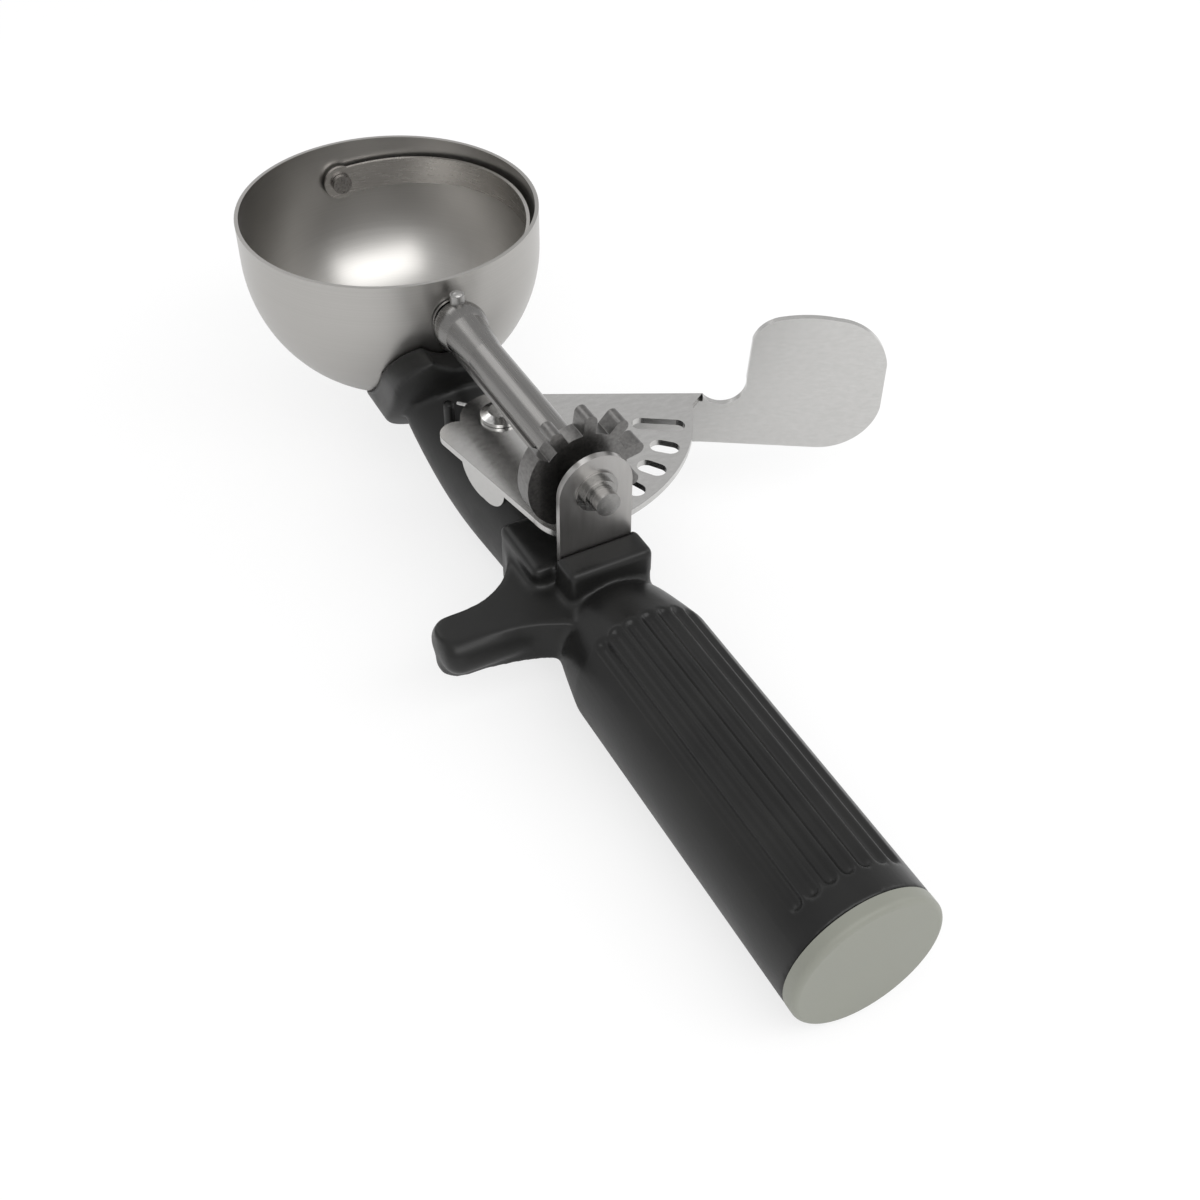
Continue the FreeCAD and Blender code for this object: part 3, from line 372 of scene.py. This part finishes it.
moulding = linked("handle_moulding", nodes["handle"].data.copy())
column = round_bar("saddle_column", (saddle_left, saddle_right), (saddle_low, saddle_high), saddle_corner,
                   saddle_start - lead, bowl_middle.y)
trim = extruded("saddle_trim", [(-trim_half_width, saddle_start), (trim_half_width, saddle_start),
                                (trim_half_width, bowl_middle.y), (-trim_half_width, bowl_middle.y)],
                trim_low, saddle_high + trim_half_width)
combine(trim, column, "DIFFERENCE")
combine(moulding, trim, "DIFFERENCE")
at_bowl = Matrix.Translation(bowl_middle)
saddle = ball("saddle", bowl_outside + saddle_sheet, at_bowl, 96, 64)
inside_ball = ball("saddle_inside", bowl_outside, at_bowl, 96, 64)
combine(saddle, column, "INTERSECT")
combine(saddle, inside_ball, "DIFFERENCE")
recess = round_bar("saddle_recess", (-recess_radius, recess_radius),
                   (bowl_middle.z - recess_radius, bowl_middle.z + recess_radius), recess_radius * 0.999,
                   saddle_start - 2 * lead, bowl_middle.y - recess_depth)
combine(saddle, recess, "DIFFERENCE")

# The finger rest from above has a round tip and two sides that spread towards the seat. Each point
# of the grip's side gives its place across and how far the side has spread there.
rest_low, rest_high = -1.0 * MM, 9.0 * MM
rest_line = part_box("rear_bracket")[1].y - 2.3 * MM
rest_half = 4.2 * MM
tip_x = -31.8 * MM
root_x, seat_x = -5 * MM, -12.8 * MM
web_x, web_radius = -28.4 * MM, 15.6 * MM
seat_spread = 15 * MM
grip_side = [(-26, 0.5), (-21, 1.5), (-16, 3.1), (-11, 5.5), (-5, 5.5)]
rest_outline = arc((tip_x, rest_line), rest_half, 90, 270)
rest_outline += [(x * MM, rest_line - rest_half - spread * MM) for x, spread in grip_side]
rest_outline += [(x, rest_line + rest_half + seat_spread) for x in (root_x, seat_x)]
rest_outline += arc((web_x, rest_line + rest_half + web_radius), web_radius, -2, -85, 12)
rest = extruded("finger_rest", rest_outline, rest_low, rest_high)

# Seven shallow flutes run along the top of the grip and close with round ends.
flute_count, flute_pitch = 7, 13.3
flute_line = 15.74 * MM
flute_radius = 1.55 * MM
flute_start, flute_end = 10 * MM, 76 * MM
for number in range(flute_count):
    lean_over = math.radians(90 + (number - (flute_count - 1) // 2) * flute_pitch)
    foot = Matrix.Translation((flute_line * math.cos(lean_over), flute_start, flute_line * math.sin(lean_over)))
    flute = ball("groove", flute_radius, foot @ Matrix.Rotation(math.radians(-90), 4, "X"), 24, 16,
                 flute_end - flute_start)
    combine(moulding, flute, "DIFFERENCE")
    bpy.data.objects.remove(flute)

# The pieces become one skin, which is then softened most where the mould is roundest.
skin_step = 0.5 * MM
soft_rest, soft_saddle, soft_elsewhere = 1.0, 0.6, 0.12
rest_zone_start, rest_zone_end, rest_zone_top = 0.079, 0.116, 0.011
saddle_zone_start = saddle_start - 0.012
for part in (saddle, rest):
    combine(moulding, part, "UNION")
for tool in (column, trim, saddle, inside_ball, recess, rest):
    bpy.data.objects.remove(tool)
wrap = moulding.modifiers.new("wrap", "REMESH")
wrap.mode = "VOXEL"
wrap.voxel_size = skin_step
bake(moulding)
soft = moulding.vertex_groups.new(name="soft")
for point in moulding.data.vertices:
    near_rest = rest_zone_start < point.co.y < rest_zone_end and point.co.z < rest_zone_top
    near_saddle = point.co.y > saddle_zone_start
    weight = soft_rest if near_rest else soft_saddle if near_saddle else soft_elsewhere
    soft.add([point.index], weight, "REPLACE")
relax = moulding.modifiers.new("relax", "SMOOTH")
relax.factor = 0.5
relax.iterations = 24
relax.vertex_group = "soft"
bake(moulding)
moulding.vertex_groups.clear()

# A clean slot for the bracket's foot, with a little play round it.
slot_play = 0.25 * MM
foot_low, foot_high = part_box("rear_bracket")
slot = extruded("bracket_slot", [(foot_low.x - slot_play, foot_low.y - slot_play),
                                 (foot_high.x + slot_play, foot_low.y - slot_play),
                                 (foot_high.x + slot_play, foot_high.y + slot_play),
                                 (foot_low.x - slot_play, foot_high.y + slot_play)],
                foot_low.z, foot_high.z)
combine(moulding, slot, "DIFFERENCE")
bpy.data.objects.remove(slot)
for polygon in moulding.data.polygons:
    polygon.use_smooth = True


def moulded(name, dark, light, rough, grain, depth):
    """Moulded plastic: a fine skin texture, cloudy changes of gloss, and slightly uneven colour."""
    material = bpy.data.materials.new(name)
    material.use_nodes = True
    tree = material.node_tree
    shader = tree.nodes["Principled BSDF"]
    shader.inputs["IOR"].default_value = 1.5
    shader.inputs["Specular IOR Level"].default_value = 0.3
    coord = tree.nodes.new("ShaderNodeTexCoord")
    skin = tree.nodes.new("ShaderNodeTexNoise")
    skin.inputs["Scale"].default_value = grain
    skin.inputs["Detail"].default_value = 4.0
    cloud = tree.nodes.new("ShaderNodeTexNoise")
    cloud.inputs["Scale"].default_value = 70.0
    cloud.inputs["Detail"].default_value = 6.0
    tree.links.new(coord.outputs["Object"], skin.inputs["Vector"])
    tree.links.new(coord.outputs["Object"], cloud.inputs["Vector"])
    tree.links.new(colour_range(tree, cloud.outputs["Fac"], dark, light), shader.inputs["Base Color"])
    gloss = value_range(tree, cloud.outputs["Fac"], rough * 0.85, rough * 1.2)
    tree.links.new(gloss, shader.inputs["Roughness"])
    bumped(tree, skin.outputs["Fac"], 0.35, depth, shader)
    return material


moulding.data.materials.clear()
moulding.data.materials.append(moulded("black_plastic", (0.006, 0.006, 0.006), (0.011, 0.011, 0.0105), 0.36,
                                       grain=1500, depth=0.00004))
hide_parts("handle")
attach(moulding, "handle_body")

# End cap: grey moulded plastic whose hollow plug is pressed into the grip's end. Its flat face is
# plain, with a fine satin grain.
wears("end_cap", moulded("grey_plastic", (0.21, 0.215, 0.185), (0.235, 0.24, 0.207), 0.42,
                         grain=1800, depth=0.00002))

# Floor: a sheet of matt white paper just under the scoop. It is part of the studio and not of the
# scoop, and the camera sees most of it as plain white, with the scoop's own soft shadow.
floor_half_width = 4.0
floor_drop = 0.001
floor_white = 0.93
paper_glow = 0.72
floor_z = cad_low.z - floor_drop
floor_mesh = bpy.data.meshes.new("floor")
corners = [(-floor_half_width, -floor_half_width, floor_z), (floor_half_width, -floor_half_width, floor_z),
           (floor_half_width, floor_half_width, floor_z), (-floor_half_width, floor_half_width, floor_z)]
floor_mesh.from_pydata(corners, [], [(0, 1, 2, 3)])
floor = linked("floor", floor_mesh)
floor_paint = bpy.data.materials.new("floor_paint")
floor_paint.use_nodes = True
paper = floor_paint.node_tree
matt = paper.nodes["Principled BSDF"]
matt.inputs["Base Color"].default_value = (floor_white, floor_white, floor_white, 1)
matt.inputs["Roughness"].default_value = 0.9
matt.inputs["Specular IOR Level"].default_value = 0.1
glow = paper.nodes.new("ShaderNodeEmission")
seen = paper.nodes.new("ShaderNodeLightPath")
share = paper.nodes.new("ShaderNodeMath")
share.operation = "MULTIPLY"
share.inputs[1].default_value = paper_glow
blend = paper.nodes.new("ShaderNodeMixShader")
paper.links.new(seen.outputs["Is Camera Ray"], share.inputs[0])
paper.links.new(share.outputs["Value"], blend.inputs["Fac"])
paper.links.new(matt.outputs["BSDF"], blend.inputs[1])
paper.links.new(glow.outputs["Emission"], blend.inputs[2])
paper.links.new(blend.outputs["Shader"], paper.nodes["Material Output"].inputs["Surface"])
floor_mesh.materials.append(floor_paint)

# Studio light: an even white room, a wide soft lamp behind the camera, and two faint ones at the
# right and at the back.
room_light = 0.75
world = bpy.data.worlds.new("studio")
bpy.context.scene.world = world
world.use_nodes = True
room = world.node_tree.nodes["Background"]
room.inputs["Color"].default_value = (1, 1, 1, 1)
room.inputs["Strength"].default_value = room_light
middle = (cad_low + cad_high) / 2


def soft_light(name, place, width, height, watts):
    """A soft rectangular lamp that shines on the middle of the scoop."""
    lamp = bpy.data.lights.new(name, "AREA")
    lamp.shape = "RECTANGLE"
    lamp.size = width
    lamp.size_y = height
    lamp.energy = watts
    holder = linked(name, lamp)
    holder.location = place
    holder.rotation_euler = (middle - Vector(place)).to_track_quat("-Z", "Y").to_euler()


soft_light("overhead", (0.0, -0.5, 0.82), width=1.5, height=0.5, watts=7.0)
soft_light("right_side", (0.95, 0.0, 0.5), width=0.4, height=0.5, watts=1.2)
soft_light("back", (-0.2, 0.95, 0.75), width=0.6, height=0.4, watts=1.0)

# Camera: behind and to the left of the handle, looking down on it, as the photograph was taken.
# Its place and its three angles, in degrees, were fitted to the photograph.
heading, tilt, lean = 28.72, 43.92, 0.69
focal_pixels, photo_pixels = 1496.5, 1200
sensor_width = 36.0
camera_data = bpy.data.cameras.new("camera")
camera_data.sensor_width = sensor_width
camera_data.lens = sensor_width * focal_pixels / photo_pixels
camera_data.clip_start = 0.01
camera = linked("camera", camera_data)
camera.location = (-0.1062, -0.0987, 0.2161)
aim = (Matrix.Rotation(math.radians(-heading), 4, "Z") @ Matrix.Rotation(math.radians(90 - tilt), 4, "X")
       @ Matrix.Rotation(math.radians(lean), 4, "Z"))
camera.rotation_euler = aim.to_euler()
bpy.context.scene.camera = camera

bpy.context.scene.view_settings.view_transform = "Standard"
